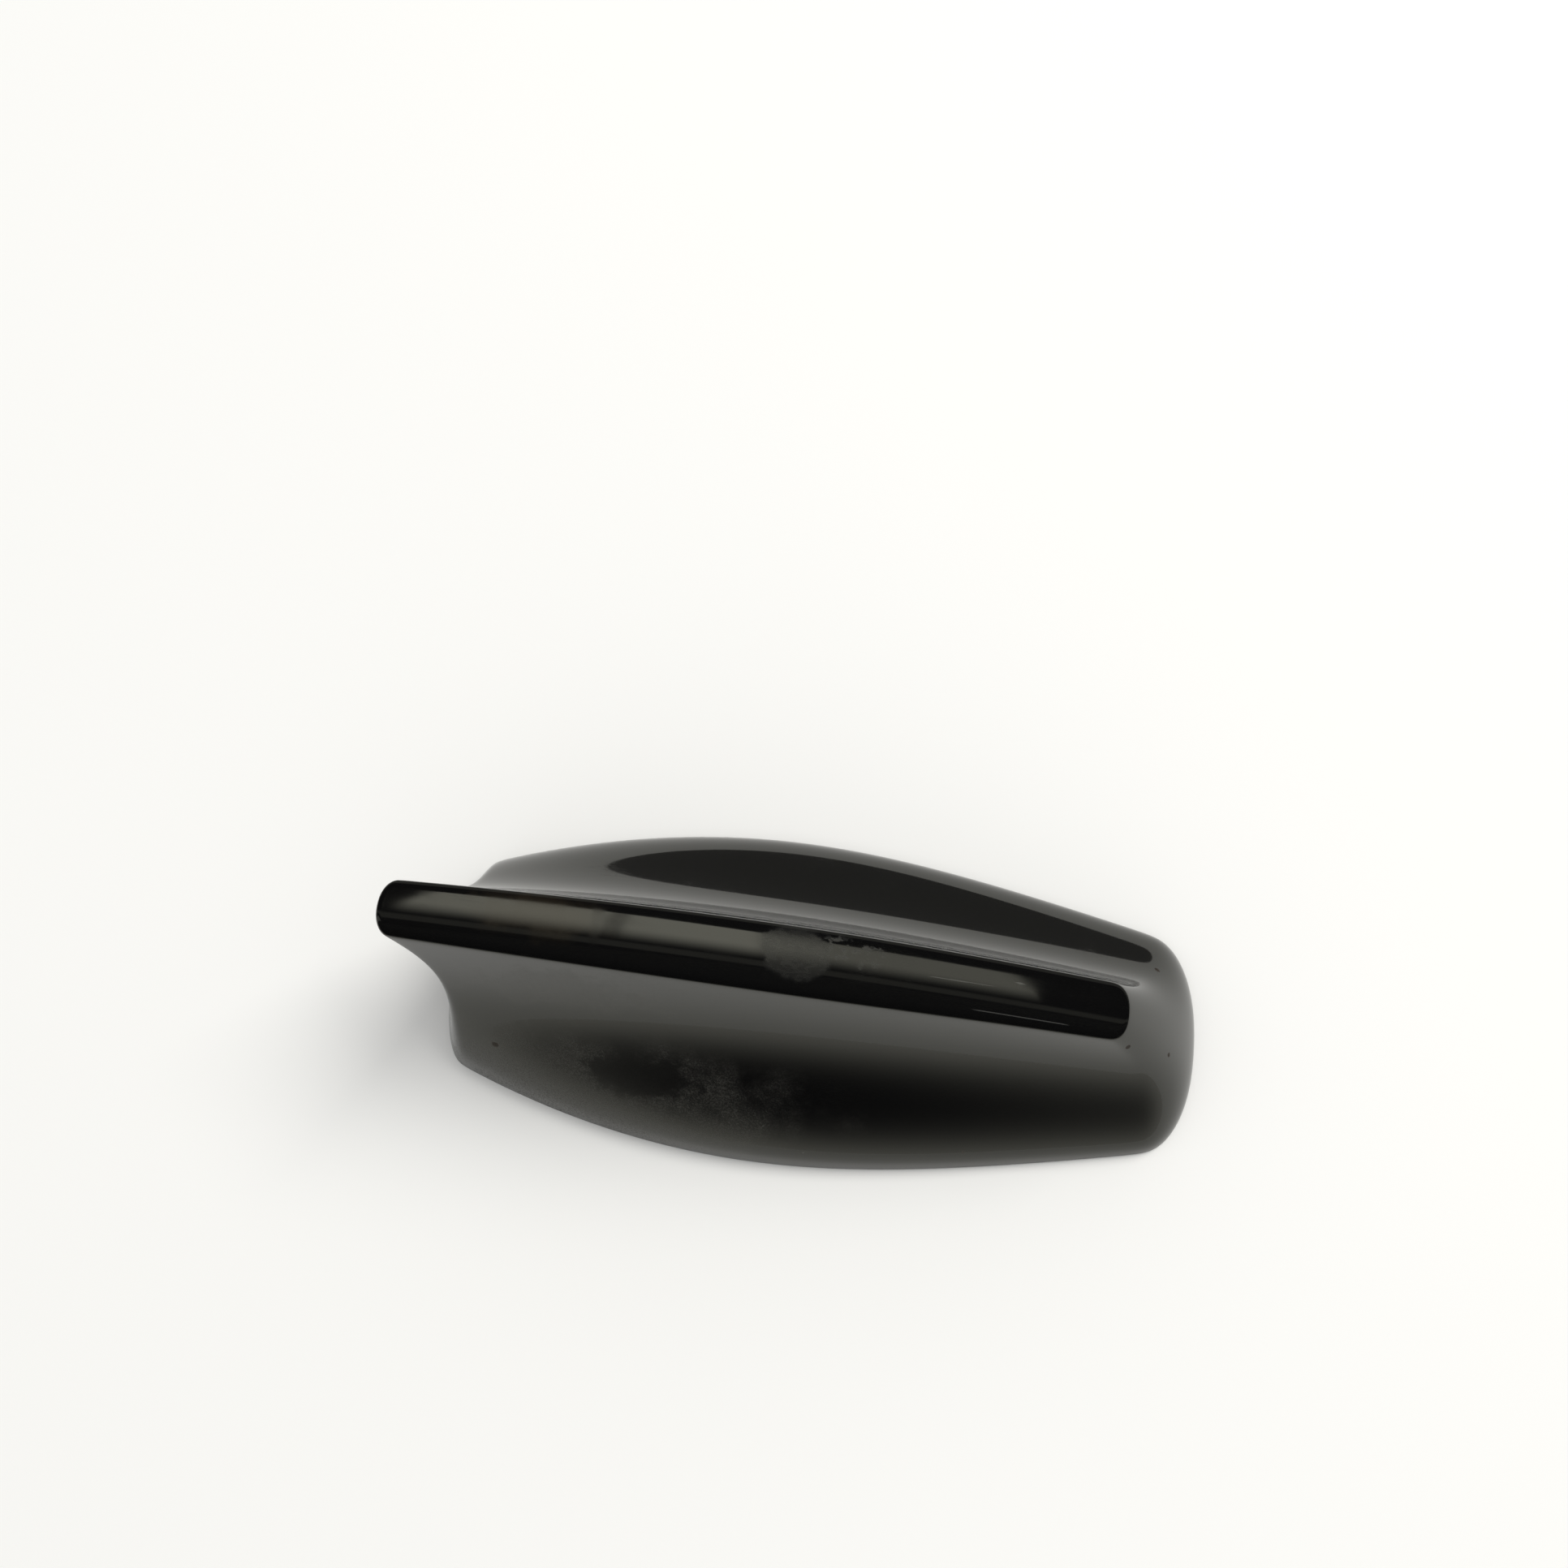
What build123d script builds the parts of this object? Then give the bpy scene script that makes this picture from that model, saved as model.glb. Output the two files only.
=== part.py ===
from build123d import *
import os
from math import cos, radians, sin, sqrt

# Driving dimensions in millimetres. X points to the nose, Y to the left, Z up.
# The origin is the fixing thread's axis where it meets the roof.

# Fin cover, outside form
nose_x = 81.5
tip_x = -82.8
tail_x = -76.5
widest_x = -6.5
rim_half = 34.5
rim_nose_half = 20.0
rim_tail_half = 18.0
spine_half = 6.3
spine_nose_half = 5.4
spine_tail_half = 5.3
fin_height = 47.0
spine_front_x = 61.5
spine_front_height = 30.5
spine_curve = 2.4
crown_radius = 24.0
spine_edge_radius = 2.0
nose_curve = 1.3
tail_undercut = 5.0
rim_nose_corner = 14.0
spine_nose_corner = 4.5
rim_tail_corner = 6.0
spine_tail_corner = 3.0
corner_power = 2.3
flare_middle = 0.5
flare_power = 2.3
flare_lean = 0.25
side_bow = 2.0
rim_lift = 0.5

# Fin cover, inside: the room is the outside form drawn in by the wall and lowered
wall = 2.0
room_drop = 1.3
boss_radius = 3.4
boss_depth = 5.0

# Shares of the fin's height at which its outline is drawn, and turns round its corners
levels = [0.0, 0.05, 0.12, 0.2, 0.28, 0.37, 0.48, 0.6, 0.75, 0.9, 1.05, 1.2]
corner_turns = [0, 15, 35, 60, 90]
side_steps = 4
mean_level = 0.3
spine_steps = 8

# Seals under the cover and round the roof hole
seal_set_back = 0.4
seal_height = 1.6
seal_reach = 12.0
seal_groove = 0.6
seal_lip = 2.5
hole_seal_front = 12.5
hole_seal_rear = -24.5
hole_seal_half = 15.0
hole_seal_lip = 3.0
hole_seal_corner = 9.0

# Base plate
fit_gap = 0.3
plate_thick = 3.0
plate_rim_height = 1.6
plate_rim_width = 1.4
thread_radius = 2.5
insert_radius = 4.2
insert_length = 10.0
hub_radius = 7.5
hub_cap = 2.0
rib_thick = 1.4
rib_height = 2.4
vent_x = 30.0
vent_hole = 1.5
vent_radius = 3.0
vent_thick = 0.4

# Screws: the cover's from below, the board's from above
cover_screw_places = [(58.0, 13.5), (-5.0, 24.5), (-60.0, 12.5)]
cover_screw_radius = 1.2
cover_screw_head = 2.4
cover_screw_head_height = 1.2
screw_gap = 0.15
board_screw_places = [(45.0, 12.0), (-45.0, 12.0)]
board_screw_radius = 0.9
board_screw_head = 2.1
board_screw_head_height = 1.3
pillar_radius = 3.0

# Main board and what stands on it
board_length = 100.0
board_width = 33.0
board_corner = 3.0
board_thick = 1.6
board_stand = 3.4
can_length = 26.0
can_width = 11.5
can_height = 4.0
can_sheet = 0.4
can_x = -29.5
can_y = 9.5
patch_side = 25.0
patch_height = 4.0
patch_x = 29.0
tape_side = 24.0
tape_thick = 0.6
pin_radius = 0.5
pin_head = 1.1
pin_head_height = 0.4
phone_x = 47.5
phone_foot = 4.0
phone_sheet = 0.5
phone_width = 12.0
phone_top_width = 5.0
phone_height = 13.5
coil_x = 9.5
coil_y = -11.5
coil_core = 1.6
coil_flange = 3.4
coil_flange_thick = 1.0
coil_height = 10.0
coil_wire_radius = 3.0

# Upright aerial board in the fin, with its sheet top
fin_board_thick = 1.2
fin_board_front = -10.5
fin_board_rear = -65.0
fin_board_heel = -48.0
fin_board_lift = 4.0
fin_board_room = 7.5
tab_length = 6.0
tab_places = [-25.5, -43.0]
tab_gap = 0.15
top_sheet = 0.5
top_half = 3.4
top_skirt = 4.0
top_margin = 3.0

# Aerial sockets that open downwards through the plate
socket_x = -14.0
socket_y = 5.6
socket_side = 10.4
socket_floor = 2.0
socket_mouth = 3.7
socket_depth = 5.0
sleeve_outer = 2.6
sleeve_inner = 2.1
sleeve_floor = 2.6
contact_radius = 0.45
contact_floor = 3.2
contact_tail = 0.5

# Heights worked out from the sizes above
plate_floor = seal_height
plate_top = plate_floor + plate_thick
board_floor = plate_top + board_stand
board_top = board_floor + board_thick
hub_top = plate_floor + insert_length + hub_cap


def spine_height(x):
    """Height of the spine's middle line at a place along the fin."""
    share = min((spine_front_x - x) / (spine_front_x - tip_x), 1.0)
    return spine_front_height + (fin_height - spine_front_height) * (1 - (1 - share) ** spine_curve)


def plane_height(x, level):
    """Height of the tilted plane that carries one outline of the fin."""
    slope = (spine_front_height - fin_height) / (spine_front_x - tip_x)
    return rim_lift + level * (fin_height + (x - tip_x) * slope - rim_lift)


def flare(share):
    """Part of the rim's extra width that is left at a share of the local height."""
    bend = 1 / (1 + (share / flare_middle) ** flare_power)
    end = 1 / (1 + (1 / flare_middle) ** flare_power)
    return (1 - flare_lean) * (bend - end) / (1 - end) + flare_lean * (1 - share)


def along(place, nose, widest, tail):
    """Half width from the tail (-1) over the widest place (0) to the nose (+1)."""
    if place < 0:
        return widest - (widest - tail) * place ** 2
    bow = (sqrt(1 + (side_bow * place) ** 2) - 1) / (sqrt(1 + side_bow ** 2) - 1)
    return widest - (widest - nose) * bow


def half_outline(level, inset, drop):
    """Points of one side of an outline, from the middle of the nose to the middle of the tail."""
    nose = nose_x - (nose_x - spine_front_x) * level ** nose_curve
    rise = min(level, 1.0)
    tail = tail_x + (tip_x - tail_x) * rise + 4 * tail_undercut * rise * (1 - rise)

    def half_width(x):
        reach = nose - widest_x if x > widest_x else widest_x - tail
        place = (x - widest_x) / reach
        rim = along(place, rim_nose_half, rim_half, rim_tail_half)
        spine = along(place, spine_nose_half, spine_half, spine_tail_half)
        return spine + (rim - spine) * flare(plane_height(x, level) / spine_height(x)) - inset

    rest = max(flare(plane_height(widest_x, level) / spine_height(widest_x)), 0.0)
    nose_corner = spine_nose_corner + (rim_nose_corner - spine_nose_corner) * rest
    tail_corner = spine_tail_corner + (rim_tail_corner - spine_tail_corner) * rest
    front = nose - inset
    back = tail + inset
    round_turns = [(abs(cos(radians(turn))), sin(radians(turn))) for turn in corner_turns]
    rounds = [(1 - long ** (2 / corner_power), wide ** (2 / corner_power)) for long, wide in round_turns]
    places = [(front - nose_corner * far, part) for far, part in rounds]
    side_front = front - nose_corner
    side_back = back + tail_corner
    front_step = (widest_x - side_front) / side_steps
    back_step = (side_back - widest_x) / side_steps
    places += [(side_front + front_step * step, 1) for step in range(1, side_steps)]
    places += [(widest_x + back_step * step, 1) for step in range(side_steps)]
    places += [(back + tail_corner * far, part) for far, part in reversed(rounds)]
    return [Vector(x, -half_width(x) * part, plane_height(x, level) - drop) for x, part in places]


def outline_wire(level, inset=0.0, drop=0.0):
    """Closed outline of the fin on one tilted plane, as two matching halves."""
    mean = half_outline(mean_level, inset, drop)
    run = [0.0]
    for here, there in zip(mean, mean[1:]):
        run.append(run[-1] + (there - here).length)
    share = [length / run[-1] for length in run]
    right = half_outline(level, inset, drop)
    leave = Vector(0, -(right[1] - right[0]).length / share[1], 0)
    arrive = Vector(0, (right[-1] - right[-2]).length / (1 - share[-2]), 0)
    right_edge = Edge.make_spline(right, tangents=[leave, arrive], parameters=share, scale=False)
    return Wire([right_edge, right_edge.mirror(Plane.XZ)])


def fin_form(inset=0.0, drop=0.0, roof=0.0):
    """The fin as a solid: outlines lofted to above the spine, then cut to the crowned spine."""
    body = Solid.make_loft([outline_wire(level, inset, drop) for level in levels])
    start = tip_x - spine_edge_radius
    stations = [start + (nose_x - start) * step / spine_steps for step in range(spine_steps + 1)]
    path = Spline([(x, 0, spine_height(x) - roof) for x in stations])
    half = crown_radius / 2
    sag = crown_radius - sqrt(crown_radius ** 2 - half ** 2)
    across = Plane(origin=path @ 0, x_dir=(0, 1, 0), z_dir=path % 0)
    bottom = ThreePointArc((-half, -sag), (0, 0), (half, -sag))
    sides = Polyline((half, -sag), (half, crown_radius), (-half, crown_radius), (-half, -sag))
    return body - sweep(across * make_face([bottom, sides]), path=path)


def rod(x, y, low, high, radius):
    """Upright round solid between two heights."""
    return Pos(x, y, low) * Cylinder(radius, high - low, align=(Align.CENTER, Align.CENTER, Align.MIN))


def block(x, y, low, high, length, width):
    """Upright box, centred on a place, between two heights."""
    return Pos(x, y, low) * Box(length, width, high - low, align=(Align.CENTER, Align.CENTER, Align.MIN))


def slab(face, low, high):
    """Flat face at the rim's height, raised into a plate between two heights."""
    return Pos(0, 0, low - rim_lift) * extrude(face, high - low, dir=(0, 0, 1))


def both_sides(places):
    """Each place, with its mirror place on the other side of the fin."""
    return [(x, side * y) for x, y in places for side in (1, -1)]


def save(shape, name):
    """Write one piece, or one group of like pieces, to its own file."""
    export_step(shape, f"parts/{name}.step")


os.makedirs("parts", exist_ok=True)
sharp_outside = fin_form()
spine_face = sharp_outside.faces().sort_by(Axis.Z)[-1]
outside = fillet(spine_face.edges(), spine_edge_radius)
room = fin_form(wall, room_drop, wall)
clear_room = fin_form(wall + fit_gap, room_drop, wall + fit_gap)

# Fin cover: one moulded shell with screw bosses under its flanks
cover_bosses = Part() + [
    rod(x, y, plate_top, fin_height, boss_radius)
    for x, y in both_sides(cover_screw_places)
]
cover_pilots = Part() + [
    rod(x, y, plate_top, plate_top + boss_depth, cover_screw_radius)
    for x, y in both_sides(cover_screw_places)
]
fin_cover = outside - room + (cover_bosses & outside) - cover_pilots
save(fin_cover, "fin_cover")

# Rim seal: a rubber ring whose thin flange lies between the cover's rim and the roof
flange = slab(Face(outline_wire(0, seal_set_back)), 0, rim_lift)
seal_body = clear_room & slab(Face(outline_wire(0)), rim_lift, seal_height)
seal_inside = slab(Face(outline_wire(0, seal_reach)), 0, seal_height)
groove_outer = slab(Face(outline_wire(0, seal_set_back + seal_lip)), 0, seal_groove)
groove_inner = slab(Face(outline_wire(0, seal_reach - seal_lip)), 0, seal_groove)
rim_seal = flange + seal_body - seal_inside - (groove_outer - groove_inner)
save(rim_seal, "rim_seal")

# Hole seal: a long ring round the fixing thread and the sockets
hole_length = hole_seal_front - hole_seal_rear
hole_middle = Pos((hole_seal_front + hole_seal_rear) / 2, 0)
hole_ring = RectangleRounded(hole_length, 2 * hole_seal_half, hole_seal_corner)
hole_inside = offset(hole_ring, -hole_seal_lip, kind=Kind.ARC)
hole_seal = extrude(hole_middle * (hole_ring - hole_inside), seal_height)
save(hole_seal, "hole_seal")

# Base plate: a casting with a raised rim, a threaded hub, pillars and ribs
plate_face = Face(outline_wire(0))
base_plate = clear_room & slab(plate_face, plate_floor, plate_top)
rim_band = clear_room & slab(plate_face, plate_top, plate_top + plate_rim_height)
inner_room = fin_form(wall + fit_gap + plate_rim_width, room_drop, wall + fit_gap)
base_plate += rim_band - inner_room
base_plate += rod(0, 0, plate_top, hub_top, hub_radius)
rib_reach = board_length / 2
base_plate += block(rib_reach / 2, 0, plate_top, plate_top + rib_height, rib_reach, rib_thick)
for x, y in both_sides(board_screw_places):
    base_plate += rod(x, y, plate_top, board_floor, pillar_radius)
    base_plate -= rod(x, y, plate_top - board_thick, board_floor, board_screw_radius + screw_gap)
for x, y in both_sides(cover_screw_places):
    base_plate -= rod(x, y, plate_floor, plate_top + plate_rim_height, cover_screw_radius + screw_gap)
    head_top = plate_floor + cover_screw_head_height
    base_plate -= rod(x, y, plate_floor, head_top, cover_screw_head + screw_gap)
    base_plate -= rod(x, y, plate_top, plate_top + plate_rim_height, boss_radius + fit_gap)
base_plate -= rod(0, 0, plate_floor, plate_floor + insert_length, insert_radius)
window_width = 2 * socket_y + socket_side + 2 * fit_gap
base_plate -= block(socket_x, 0, plate_floor, plate_top, socket_side + 2 * fit_gap, window_width)
base_plate -= rod(vent_x, 0, plate_floor, plate_top + rib_height, vent_hole)
base_plate -= rod(vent_x, 0, plate_top, plate_top + rib_height, vent_radius + fit_gap)
save(base_plate, "base_plate")

# Thread insert: a turned steel bush pressed into the hub, for the bolt from inside the car
thread_insert = rod(0, 0, plate_floor, plate_floor + insert_length, insert_radius)
thread_insert -= rod(0, 0, plate_floor, plate_floor + insert_length, thread_radius)
save(thread_insert, "thread_insert")

# Vent membrane: a thin disc over the plate's breathing hole
save(rod(vent_x, 0, plate_top, plate_top + vent_thick, vent_radius), "vent_membrane")

# Cover screws: flat heads in the plate, shanks up into the cover's bosses
cover_screws = []
for x, y in both_sides(cover_screw_places):
    head = rod(x, y, plate_floor, plate_floor + cover_screw_head_height, cover_screw_head)
    shank_top = plate_top + boss_depth - screw_gap
    shank = rod(x, y, plate_floor + cover_screw_head_height, shank_top, cover_screw_radius)
    cover_screws.append(head + shank)
save(Compound(children=[Part(screw.wrapped) for screw in cover_screws]), "cover_screws")

# Main board: holes for the hub, the screws, the feed pin, the tabs and the socket contacts
board_outline = RectangleRounded(board_length, board_width, board_corner)
main_board = Pos(0, 0, board_floor) * extrude(board_outline, board_thick)
main_board -= rod(0, 0, board_floor, board_top, hub_radius + fit_gap)
main_board -= rod(patch_x, 0, board_floor, board_top, pin_radius + screw_gap)
for x, y in both_sides(board_screw_places):
    main_board -= rod(x, y, board_floor, board_top, board_screw_radius + screw_gap)
for x in tab_places:
    tab_slot = block(x, 0, board_floor, board_top, tab_length + 2 * tab_gap, fin_board_thick + 2 * tab_gap)
    main_board -= tab_slot
for x, y in both_sides([(socket_x, socket_y)]):
    main_board -= rod(x, y, board_floor, board_top, contact_radius + screw_gap)
save(main_board, "main_board")

# Board screws: pan heads on the board, shanks down into the pillars
board_screws = []
for x, y in both_sides(board_screw_places):
    head = rod(x, y, board_top, board_top + board_screw_head_height, board_screw_head)
    shank = rod(x, y, plate_top - board_thick + screw_gap, board_top, board_screw_radius)
    board_screws.append(head + shank)
save(Compound(children=[Part(screw.wrapped) for screw in board_screws]), "board_screws")

# Shield can: a folded tin box over the amplifier
shield_can = block(can_x, can_y, board_top, board_top + can_height, can_length, can_width)
can_ceiling = board_top + can_height - can_sheet
can_inside = (can_length - 2 * can_sheet, can_width - 2 * can_sheet)
shield_can -= block(can_x, can_y, board_top, can_ceiling, *can_inside)
save(shield_can, "shield_can")

# Satellite patch: a ceramic tile on a foam tape, with its feed pin through the board
tape_top = board_top + tape_thick
patch_top = tape_top + patch_height
feed_hole = rod(patch_x, 0, board_floor, patch_top, pin_radius + screw_gap)
patch_tape = block(patch_x, 0, board_top, tape_top, tape_side, tape_side) - feed_hole
save(patch_tape, "patch_tape")
patch_tile = block(patch_x, 0, tape_top, patch_top, patch_side, patch_side) - feed_hole
save(patch_tile, "patch_tile")
feed_pin = rod(patch_x, 0, board_floor - contact_tail, patch_top, pin_radius)
feed_pin += rod(patch_x, 0, patch_top, patch_top + pin_head_height, pin_head)
save(feed_pin, "feed_pin")

# Phone aerial: a bent sheet blade that stands on its foot at the front of the board
blade = Polyline(
    (-phone_width / 2, 0), (phone_width / 2, 0), (phone_width / 2, phone_height / 2),
    (phone_top_width / 2, phone_height), (-phone_top_width / 2, phone_height),
    (-phone_width / 2, phone_height / 2), (-phone_width / 2, 0),
)
blade_plane = Plane(origin=(phone_x, 0, board_top), x_dir=(0, 1, 0), z_dir=(1, 0, 0))
phone_blade = extrude(blade_plane * make_face(blade), phone_sheet)
phone_blade += block(
    phone_x - phone_foot / 2, 0, board_top, board_top + phone_sheet, phone_foot, phone_width
)
save(phone_blade, "phone_blade")

# Loading coil: a flanged former with its winding between the flanges
coil_top = board_top + coil_height
coil_former = rod(coil_x, coil_y, board_top, coil_top, coil_core)
coil_former += rod(coil_x, coil_y, board_top, board_top + coil_flange_thick, coil_flange)
coil_former += rod(coil_x, coil_y, coil_top - coil_flange_thick, coil_top, coil_flange)
save(coil_former, "coil_former")
winding_low = board_top + coil_flange_thick
winding_high = coil_top - coil_flange_thick
coil_winding = rod(coil_x, coil_y, winding_low, winding_high, coil_wire_radius)
coil_winding -= rod(coil_x, coil_y, winding_low, winding_high, coil_core)
save(coil_winding, "coil_winding")

# Fin board: an upright circuit board with two tabs through the main board
front_top = spine_height(fin_board_front) - fin_board_room
rear_top = spine_height(fin_board_rear) - fin_board_room
fin_outline = Polyline(
    (fin_board_front, board_top), (fin_board_front - fin_board_lift, front_top), (fin_board_rear, rear_top),
    (fin_board_rear, board_top + 2 * fin_board_lift), (fin_board_heel, board_top + fin_board_lift),
    (fin_board_heel, board_top), (fin_board_front, board_top),
)
side_plane = Plane(origin=(0, fin_board_thick / 2, 0), x_dir=(1, 0, 0), z_dir=(0, -1, 0))
fin_board = extrude(side_plane * make_face(fin_outline), fin_board_thick)
for x in tab_places:
    fin_board += block(x, 0, board_floor - contact_tail, board_top, tab_length, fin_board_thick)
save(fin_board, "fin_board")

# Top sheet: a folded metal saddle along the upper edge of the fin board
top_front = Vector(fin_board_front - fin_board_lift, 0, front_top)
top_rear = Vector(fin_board_rear, 0, rear_top)
top_way = (top_rear - top_front).normalized()
top_start = top_front + top_way * top_margin
saddle_plane = Plane(origin=top_start, x_dir=(0, 1, 0), z_dir=top_way)
saddle_up = 1 if saddle_plane.y_dir.Z > 0 else -1
saddle = Pos(0, saddle_up * (top_sheet - top_skirt) / 2) * Rectangle(2 * top_half, top_skirt + top_sheet)
saddle -= Pos(0, -saddle_up * top_skirt / 2) * Rectangle(2 * (top_half - top_sheet), top_skirt)
top_length = (top_rear - top_front).length - 2 * top_margin
save(extrude(saddle_plane * saddle, top_length), "top_sheet")

# Aerial sockets: moulded housings, spring sleeves and centre contacts
socket_housings = []
socket_sleeves = []
socket_contacts = []
for x, y in both_sides([(socket_x, socket_y)]):
    housing = block(x, y, socket_floor, board_floor, socket_side, socket_side)
    housing -= rod(x, y, socket_floor, socket_floor + socket_depth, socket_mouth)
    housing -= rod(x, y, socket_floor, board_floor, sleeve_outer)
    socket_housings.append(housing)
    sleeve = rod(x, y, sleeve_floor, board_floor, sleeve_outer)
    sleeve -= rod(x, y, sleeve_floor, board_floor, sleeve_inner)
    socket_sleeves.append(sleeve)
    socket_contacts.append(rod(x, y, contact_floor, board_top + contact_tail, contact_radius))
save(Compound(children=[Part(piece.wrapped) for piece in socket_housings]), "socket_housings")
save(Compound(children=[Part(piece.wrapped) for piece in socket_sleeves]), "socket_sleeves")
save(Compound(children=[Part(piece.wrapped) for piece in socket_contacts]), "socket_contacts")
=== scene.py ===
from math import cos, pi, radians, sin, sqrt, tan

import bmesh
import bpy
from mathutils import Matrix, Vector
from mathutils.bvhtree import BVHTree


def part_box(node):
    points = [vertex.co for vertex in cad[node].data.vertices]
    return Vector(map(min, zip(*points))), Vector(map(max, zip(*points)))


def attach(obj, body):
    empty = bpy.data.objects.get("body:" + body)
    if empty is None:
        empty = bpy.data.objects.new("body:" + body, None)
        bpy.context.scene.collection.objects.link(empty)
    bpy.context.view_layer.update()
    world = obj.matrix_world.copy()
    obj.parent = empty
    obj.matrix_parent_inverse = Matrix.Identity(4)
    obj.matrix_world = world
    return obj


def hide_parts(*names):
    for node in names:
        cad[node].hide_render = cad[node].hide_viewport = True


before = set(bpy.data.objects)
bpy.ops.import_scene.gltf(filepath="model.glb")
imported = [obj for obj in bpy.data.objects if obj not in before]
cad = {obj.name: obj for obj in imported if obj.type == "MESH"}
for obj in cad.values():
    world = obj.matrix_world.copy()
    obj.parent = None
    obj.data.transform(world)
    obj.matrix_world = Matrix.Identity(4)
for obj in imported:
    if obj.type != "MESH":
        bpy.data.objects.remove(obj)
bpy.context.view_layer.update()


# Base plate: the floor of the antenna, die cast in aluminium and bead blasted.
# It carries the boards on pillars, and the cover is screwed to it from below.
def new_finish(name, roughness, metallic):
    """A material with its shader, and the place on the part that its patterns read."""
    finish = bpy.data.materials.new(name)
    finish.use_nodes = True
    tree = finish.node_tree
    shader = tree.nodes["Principled BSDF"]
    shader.inputs["Roughness"].default_value = roughness
    shader.inputs["Metallic"].default_value = metallic
    place = tree.nodes.new("ShaderNodeTexCoord").outputs["Object"]
    return finish, tree, shader, place


def stretched(tree, place, middle=(0, 0, 0), turn=(0, 0, 0), scale=(1, 1, 1)):
    """The place measured from a middle point, turned and stretched."""
    shift = tree.nodes.new("ShaderNodeVectorMath")
    shift.operation = "SUBTRACT"
    shift.inputs[1].default_value = middle
    tree.links.new(place, shift.inputs[0])
    mapping = tree.nodes.new("ShaderNodeMapping")
    mapping.inputs["Rotation"].default_value = turn
    mapping.inputs["Scale"].default_value = scale
    tree.links.new(shift.outputs[0], mapping.inputs["Vector"])
    return mapping.outputs["Vector"]


def grain(tree, place, scale, detail=4.0, roughness=0.55, distortion=0.0):
    """Cloudy noise over the part, from 0 to 1."""
    noise = tree.nodes.new("ShaderNodeTexNoise")
    noise.inputs["Scale"].default_value = scale
    noise.inputs["Detail"].default_value = detail
    noise.inputs["Roughness"].default_value = roughness
    noise.inputs["Distortion"].default_value = distortion
    tree.links.new(place, noise.inputs["Vector"])
    return noise.outputs["Fac"]


def ramp(tree, amount, low, high, low_value=0.0, high_value=1.0, smooth=True):
    """An amount turned into another one between two limits."""
    node = tree.nodes.new("ShaderNodeMapRange")
    node.interpolation_type = "SMOOTHSTEP" if smooth else "LINEAR"
    node.inputs["From Min"].default_value = low
    node.inputs["From Max"].default_value = high
    node.inputs["To Min"].default_value = low_value
    node.inputs["To Max"].default_value = high_value
    tree.links.new(amount, node.inputs["Value"])
    return node.outputs["Result"]


def sums(tree, operation, first, second):
    """One arithmetic step between two amounts, or an amount and a number."""
    node = tree.nodes.new("ShaderNodeMath")
    node.operation = operation
    for socket, amount in zip(node.inputs, (first, second)):
        if isinstance(amount, (int, float)):
            socket.default_value = amount
        else:
            tree.links.new(amount, socket)
    return node.outputs["Value"]


def tints(tree, amount, colour, other):
    """A colour that goes over to another one; either may come from a node."""
    node = tree.nodes.new("ShaderNodeMix")
    node.data_type = "RGBA"
    tree.links.new(amount, node.inputs["Factor"])
    for socket, tint in ((node.inputs[6], colour), (node.inputs[7], other)):
        if isinstance(tint, tuple):
            socket.default_value = (*tint, 1.0)
        else:
            tree.links.new(tint, socket)
    return node.outputs[2]


def relief(tree, shader, height, strength, distance):
    """Fine unevenness of the surface."""
    bump = tree.nodes.new("ShaderNodeBump")
    bump.inputs["Strength"].default_value = strength
    bump.inputs["Distance"].default_value = distance
    tree.links.new(height, bump.inputs["Height"])
    tree.links.new(bump.outputs["Normal"], shader.inputs["Normal"])


def dress(node, finish):
    """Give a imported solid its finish."""
    cad[node].data.materials.clear()
    cad[node].data.materials.append(finish)


cast_plate, tree, shader, place = new_finish("blasted_casting", 0.5, 1.0)
blotch = grain(tree, place, 90.0, 5.0)
cast_grey = tints(tree, ramp(tree, blotch, 0.3, 0.7), (0.42, 0.43, 0.44), (0.6, 0.6, 0.6))
tree.links.new(cast_grey, shader.inputs["Base Color"])
blast = grain(tree, place, 2400.0, 3.0)
tree.links.new(ramp(tree, blast, 0.3, 0.7, 0.42, 0.62), shader.inputs["Roughness"])
relief(tree, shader, blast, 0.5, 0.00008)
dress("base_plate", cast_plate)


# Thread insert: a turned steel bush, zinc plated and pressed into the plate's hub.
# Its bore is tapped for the bolt that comes up through the roof from inside the car.
plated_steel, tree, shader, place = new_finish("zinc_plated_steel", 0.3, 1.0)
haze = grain(tree, place, 260.0, 6.0)
zinc = tints(tree, ramp(tree, haze, 0.35, 0.7), (0.5, 0.5, 0.48), (0.62, 0.6, 0.52))
tree.links.new(zinc, shader.inputs["Base Color"])
turning = grain(tree, stretched(tree, place, scale=(1, 1, 30)), 700.0, 2.0)
tree.links.new(ramp(tree, turning, 0.3, 0.7, 0.22, 0.4), shader.inputs["Roughness"])
relief(tree, shader, turning, 0.15, 0.00004)

insert_low, insert_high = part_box("thread_insert")
insert_radius = (insert_high.x - insert_low.x) / 2
bore_radius, thread_depth, thread_pitch = 0.0025, 0.0005, 0.001
around, along_bore = 48, 100
insert_mesh = bmesh.new()


def thread_radius(turn, rise):
    """Radius of the tapped bore: a wedge-shaped ridge that climbs one pitch a turn."""
    phase = (rise / thread_pitch - turn / (2 * pi)) % 1.0
    return bore_radius + thread_depth * (1 - abs(2 * phase - 1))


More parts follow.
